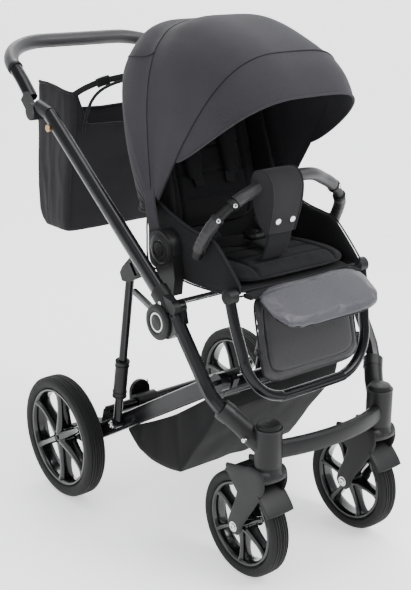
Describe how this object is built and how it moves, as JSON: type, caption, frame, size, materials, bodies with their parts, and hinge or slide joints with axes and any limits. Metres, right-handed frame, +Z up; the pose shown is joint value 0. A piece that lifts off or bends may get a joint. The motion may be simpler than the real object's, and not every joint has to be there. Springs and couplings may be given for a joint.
{
  "type": "baby stroller",
  "caption": "Folding stroller with seat unit, extendable canopy, footrest, bumper bar, carry bag, basket, swivelling front wheels and push handle.",
  "frame": {"origin": "on the floor, under the middle of the stroller's outer box", "axes": "+Z up; the child faces -Y and the push handle is at +Y; +X is the child's left, the frame is mirror symmetric about X = 0"},
  "size_m": [0.5854, 0.977, 1.1158],
  "materials": {
    "frame": "satin anthracite",
    "plastic": "fine grained",
    "gloss": "polished",
    "tyre": "matt foam rubber",
    "canopy_fabric": "heathered charcoal weave",
    "dark_fabric": "black weave",
    "leatherette": "satin grey leatherette",
    "grip": "stitched leatherette grip",
    "bronze": "satin bronze",
    "bag_fabric": "padded twill"
  },
  "bodies": {
    "chassis": {"front_beam": "plastic", "cross_tube": "frame", "hinge_rod": "frame", "seat_shell": "dark_fabric", "seat_cushion": "dark_fabric", "basket": "dark_fabric", "front_leg_right": "frame", "leg_socket_right": "plastic", "seat_hub_right": "plastic", "hinge_disc_right": "plastic", "front_leg_left": "frame", "leg_socket_left": "plastic", "seat_hub_left": "plastic", "hinge_disc_left": "plastic"},
    "upper_frame": {"carry_bag": "bag_fabric", "upper_tube_right": "frame", "hinge_cover_right": "plastic", "link_bracket_right": "plastic", "handle_knuckle_right": "plastic", "upper_tube_left": "frame", "hinge_cover_left": "plastic", "link_bracket_left": "plastic", "handle_knuckle_left": "plastic"},
    "handle": {"push_handle": "grip", "handle_joint_right": "plastic", "handle_joint_left": "plastic"},
    "rear_frame": {"rear_bar": "frame", "rear_arm_right": "frame", "wheel_carrier_right": "plastic", "rear_arm_left": "frame", "wheel_carrier_left": "plastic"},
    "brake": {"brake_pedal": "plastic"},
    "rear_link_right": {"link_tube_right": "frame", "shock_sleeve_right": "plastic"},
    "rear_wheel_right": {"rear_tyre_right": "tyre", "rear_rim_right": "gloss"},
    "swivel_right": {"front_fork_right": "plastic"},
    "front_wheel_right": {"front_tyre_right": "tyre", "front_rim_right": "gloss"},
    "fold_button_right": {"fold_button_right": "bronze"},
    "recline_button_right": {"recline_button_right": "plastic"},
    "rear_link_left": {"link_tube_left": "frame", "shock_sleeve_left": "plastic"},
    "rear_wheel_left": {"rear_tyre_left": "tyre", "rear_rim_left": "gloss"},
    "swivel_left": {"front_fork_left": "plastic"},
    "front_wheel_left": {"front_tyre_left": "tyre", "front_rim_left": "gloss"},
    "fold_button_left": {"fold_button_left": "bronze"},
    "recline_button_left": {"recline_button_left": "plastic"},
    "backrest": {"backrest": "dark_fabric", "canopy_cover": "canopy_fabric"},
    "visor": {"canopy_visor": "canopy_fabric"},
    "bumper": {"bumper_bar": "grip", "bumper_cover": "canopy_fabric"},
    "footrest": {"footrest_frame": "plastic", "calf_panel": "leatherette", "footrest_pad": "leatherette"}
  },
  "joints": [
    {"name": "frame_fold", "type": "hinge", "parent": "chassis", "child": "upper_frame", "pos_m": [0, -0.25, 0.567], "axis": [1, 0, 0], "range_deg": [0, 150], "deforming": ["carry_bag"]},
    {"name": "handle_tilt", "type": "hinge", "parent": "upper_frame", "child": "handle", "pos_m": [0, 0.278, 0.891], "axis": [-1, 0, 0], "range_deg": [-35, 80]},
    {"name": "rear_fold", "type": "hinge", "parent": "chassis", "child": "rear_frame", "pos_m": [0, -0.325, 0.42], "axis": [1, 0, 0], "range_deg": [0, 31]},
    {"name": "link_pivot_right", "type": "hinge", "parent": "rear_frame", "child": "rear_link_right", "pos_m": [-0.211, 0.022, 0.211], "axis": [1, 0, 0], "range_deg": [0, 16]},
    {"name": "link_pivot_left", "type": "hinge", "parent": "rear_frame", "child": "rear_link_left", "pos_m": [0.211, 0.022, 0.211], "axis": [1, 0, 0], "range_deg": [0, 16]},
    {"name": "rear_wheel_spin_right", "type": "hinge", "parent": "rear_frame", "child": "rear_wheel_right", "pos_m": [-0.2687, 0.16, 0.145], "axis": [1, 0, 0], "continuous": true},
    {"name": "rear_wheel_spin_left", "type": "hinge", "parent": "rear_frame", "child": "rear_wheel_left", "pos_m": [0.2687, 0.16, 0.145], "axis": [1, 0, 0], "continuous": true},
    {"name": "brake_press", "type": "hinge", "parent": "rear_frame", "child": "brake", "pos_m": [-0.088, 0.084, 0.213], "axis": [-1, 0, 0], "range_deg": [0, 18]},
    {"name": "swivel_turn_right", "type": "hinge", "parent": "chassis", "child": "swivel_right", "pos_m": [-0.1576, -0.4345, 0.3], "axis": [0, 0, 1], "continuous": true},
    {"name": "swivel_turn_left", "type": "hinge", "parent": "chassis", "child": "swivel_left", "pos_m": [0.1576, -0.4345, 0.3], "axis": [0, 0, 1], "continuous": true},
    {"name": "front_wheel_spin_right", "type": "hinge", "parent": "swivel_right", "child": "front_wheel_right", "pos_m": [-0.1576, -0.3693, 0.1144], "axis": [1, 0, 0], "continuous": true},
    {"name": "front_wheel_spin_left", "type": "hinge", "parent": "swivel_left", "child": "front_wheel_left", "pos_m": [0.1576, -0.3693, 0.1144], "axis": [1, 0, 0], "continuous": true},
    {"name": "backrest_recline", "type": "hinge", "parent": "chassis", "child": "backrest", "pos_m": [0, -0.135, 0.655], "axis": [-1, 0, 0], "range_deg": [0, 25]},
    {"name": "canopy_fold", "type": "hinge", "parent": "backrest", "child": "visor", "pos_m": [0, -0.095, 0.72], "axis": [-1, 0, 0], "range_deg": [0, 70], "deforming": ["canopy_cover"]},
    {"name": "bumper_swing", "type": "hinge", "parent": "chassis", "child": "bumper", "pos_m": [0, -0.24, 0.655], "axis": [1, 0, 0], "range_deg": [0, 30]},
    {"name": "footrest_tilt", "type": "hinge", "parent": "chassis", "child": "footrest", "pos_m": [0, -0.34, 0.6], "axis": [-1, 0, 0], "range_deg": [0, 35]},
    {"name": "fold_button_press_right", "type": "slide", "parent": "upper_frame", "child": "fold_button_right", "axis": [1, 0, 0], "range_m": [0, 0.0025], "stiffness_N_per_m": 300},
    {"name": "fold_button_press_left", "type": "slide", "parent": "upper_frame", "child": "fold_button_left", "axis": [-1, 0, 0], "range_m": [0, 0.0025], "stiffness_N_per_m": 300},
    {"name": "recline_button_press_right", "type": "slide", "parent": "chassis", "child": "recline_button_right", "axis": [1, 0, 0], "range_m": [0, 0.003], "stiffness_N_per_m": 300},
    {"name": "recline_button_press_left", "type": "slide", "parent": "chassis", "child": "recline_button_left", "axis": [-1, 0, 0], "range_m": [0, 0.003], "stiffness_N_per_m": 300}
  ],
  "couplings": [
    {"joint": "rear_fold", "follows": "frame_fold", "ratio": 0.2},
    {"joint": "link_pivot_right", "follows": "frame_fold", "ratio": 0.1},
    {"joint": "link_pivot_left", "follows": "frame_fold", "ratio": 0.1}
  ]
}
